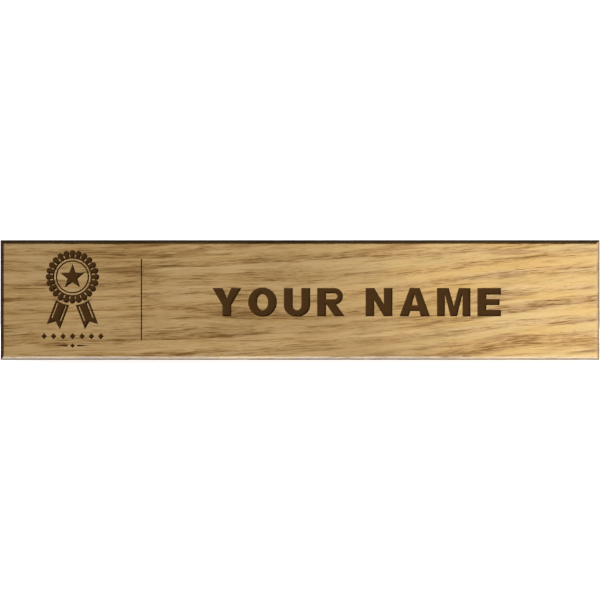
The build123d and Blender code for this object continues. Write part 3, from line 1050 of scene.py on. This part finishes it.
def bumper_profile(radius, height):
    """A bumper's half section as (radius, y): its foot, tapered side, rounded rim and gate mark."""
    foot_in, foot_up = BUMPER_FOOT
    corner = radius - height * math.tan(BUMPER_TAPER) - BUMPER_EDGE
    profile = [(0, 0.0), (radius - foot_in, 0.0), (radius, foot_up)]
    for i in range(BUMPER_EDGE_STEPS + 1):
        angle = math.pi / 2 * i / BUMPER_EDGE_STEPS
        rise = height - BUMPER_EDGE + BUMPER_EDGE * math.sin(angle)
        profile.append((corner + BUMPER_EDGE * math.cos(angle), rise))
    gate = [(GATE_RADIUS[0], height), (GATE_RADIUS[1], height - GATE_DEPTH[0]), (0, height - GATE_DEPTH[1])]
    return profile + gate


def make_bumper(side, level, material):
    """A moulded bumper that stands on the board's back."""
    node = f"bumper_{side}_{level}"
    low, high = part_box(node)
    profile = bumper_profile((high.x - low.x) / 2, high.y - low.y)
    bumper = lathe(f"round_bumper_{side}_{level}", profile, BUMPER_SEGMENTS, [material])
    foot = Vector(((low.x + high.x) / 2, low.y, (low.z + high.z) / 2))
    bumper.data.transform(Matrix.Translation(foot))
    shade(bumper)
    stand_for(bumper, node)


def make_hardware():
    plate_steel = steel_material("zinc_plate", (0.52, 0.53, 0.54), (0.70, 0.71, 0.72), 0.34)
    screw_steel = steel_material("zinc_screw", (0.62, 0.56, 0.42), (0.78, 0.72, 0.58), 0.26)
    rubber = rubber_material()
    for side in ("left", "right"):
        make_plate(side, plate_steel)
        for level in ("lower", "upper"):
            make_screw(side, level, screw_steel)
            make_bumper(side, level, rubber)


# ---------------------------------------------------------------- stage, light and camera


def make_camera():
    """Square on to the front, far enough away for the board to fill the picture's width."""
    data = bpy.data.cameras.new("camera")
    data.lens, data.sensor_width = LENS, SENSOR
    data.clip_start, data.clip_end = 0.01, 20
    camera = link_object("camera", data)
    distance = 2 * HALF.x / PLAQUE_SHARE * LENS / SENSOR
    camera.location = (CENTRE.x, BOARD_LOW.y + FRONT_BEVEL - distance, CENTRE.z)
    camera.rotation_euler = (math.pi / 2, 0, 0)
    bpy.context.scene.camera = camera


def make_floor():
    """A pale floor that glows a little, as a lit studio table does, and lets light from below by."""
    material, _, shader = new_material("pale_floor")
    shader.inputs["Base Color"].default_value = (0.8, 0.8, 0.8, 1)
    shader.inputs["Roughness"].default_value = 1.0
    shader.inputs["Specular IOR Level"].default_value = 0.0
    shader.inputs["Emission Color"].default_value = (1, 1, 1, 1)
    shader.inputs["Emission Strength"].default_value = FLOOR_GLOW
    signs = ((-1, -1), (1, -1), (1, 1), (-1, 1))
    points = [(x * FLOOR_REACH, y * FLOOR_REACH, BOARD_LOW.z) for x, y in signs]
    floor = mesh_from("floor", points, [(0, 1, 2, 3)], [material])
    floor.visible_shadow = False
    floor.visible_diffuse = False
    floor.visible_glossy = False


def area_light(name, direction, distance, size, radiance, colour):
    """A soft panel that faces the plaque from a direction. Its radiance is how bright it is itself."""
    away = Vector(direction).normalized()
    data = bpy.data.lights.new(name, "AREA")
    data.shape = "RECTANGLE"
    data.size, data.size_y = size
    data.energy = radiance * math.pi * size[0] * size[1]
    data.color = colour
    light = link_object(name, data)
    light.location = CENTRE + away * distance
    light.rotation_euler = away.to_track_quat("Z", "Y").to_euler()
    light.visible_camera = False


def make_world():
    """White to the camera. To everything else it is a dim studio with a bright square wall behind
    the plaque, which lights the back but not the front's bevels."""
    world = bpy.data.worlds.new("studio")
    world.use_nodes = True
    tree = world.node_tree
    tree.nodes.clear()
    direction = add_node(tree, "ShaderNodeTexCoord").outputs["Generated"]
    sideways = [maths(tree, "ABSOLUTE", part_of(tree, direction, axis)) for axis in ("X", "Z")]
    aside = maths(tree, "MAXIMUM", *sideways)
    behind = maths(tree, "SUBTRACT", part_of(tree, direction, "Y"), aside)
    glow = map_range(tree, behind, -0.02, 0.3, AMBIENT, BACK_GLOW)
    seen = add_node(tree, "ShaderNodeLightPath").outputs["Is Camera Ray"]
    studio = add_node(tree, "ShaderNodeBackground", {"Color": (1, 1, 1, 1), "Strength": glow})
    white = add_node(tree, "ShaderNodeBackground", {"Color": (1, 1, 1, 1), "Strength": WHITE_GLOW})
    mixed = add_node(tree, "ShaderNodeMixShader", {0: seen, 1: studio.outputs[0], 2: white.outputs[0]})
    add_node(tree, "ShaderNodeOutputWorld", {"Surface": mixed.outputs[0]})
    bpy.context.scene.world = world


def light_studio():
    """The light comes from the lower right, so that the top and left bevels fall dark and the bottom
    one shines."""
    make_world()
    for panel in PANELS:
        area_light(*panel)


make_board()
paint = paint_material()
for node_name in sorted(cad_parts):
    if node_name.endswith("_fill"):
        make_paint(node_name, paint)
make_hardware()
make_floor()
light_studio()
make_camera()
bpy.context.scene.view_settings.view_transform = "Standard"
